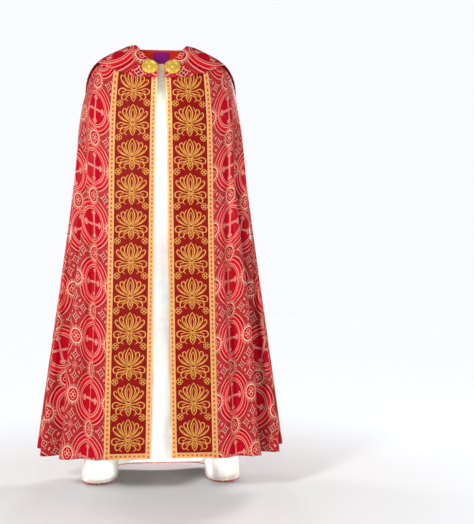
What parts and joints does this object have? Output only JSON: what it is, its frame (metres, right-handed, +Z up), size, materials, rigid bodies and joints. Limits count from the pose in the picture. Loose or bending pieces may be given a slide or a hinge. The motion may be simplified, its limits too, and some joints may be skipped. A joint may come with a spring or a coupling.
{
  "type": "cope vestment",
  "caption": "Full-length cope: a wide lined brocade cape in worn folds, with front orphreys, a shield hood with a cross and tassel, and a fastened clasp.",
  "frame": {"origin": "centre of the neck opening at shoulder height, where the wearer's shoulders hold the cope", "axes": "+Z up along the hanging cloth, the front faces -Y, +X is the wearer's left"},
  "size_m": [0.8366, 0.4346, 1.5038],
  "materials": {
    "brocade": "crimson jacquard with pink and pale gold roundels, satin sheen",
    "lining": "cream lining, smooth",
    "facing": "orange-red satin",
    "label": "plain purple woven tab",
    "velvet": "dark red cloth with gold embroidery",
    "galloon": "woven gold braid with pale edges and a row of orange-red dots",
    "silk": "golden rayon thread",
    "gold": "gold plated, cast relief"
  },
  "bodies": {
    "root": {"cape": "brocade", "lining": "lining", "neck_facing": "facing", "label": "label", "hood": "brocade", "orphrey_left": "velvet", "orphrey_right": "velvet", "galloon_outer_left": "galloon", "galloon_outer_right": "galloon", "galloon_inner_left": "galloon", "galloon_inner_right": "galloon", "galloon_hem_left": "galloon", "galloon_hem_right": "galloon", "cross_field_top": "velvet", "cross_field_left": "velvet", "cross_field_bottom": "velvet", "cross_field_right": "velvet", "cross_galloon": "galloon", "roundel_ring": "silk", "roundel_disc": "velvet", "clasp_left": "gold", "clasp_right": "gold", "clasp_eye": "gold", "clasp_hook": "gold", "chain_link_1": "gold", "chain_link_2": "gold", "chain_link_3": "gold", "chain_link_4": "gold", "chain_link_5": "gold", "tassel_cord": "silk", "tassel": "silk"}
  },
  "joints": []
}
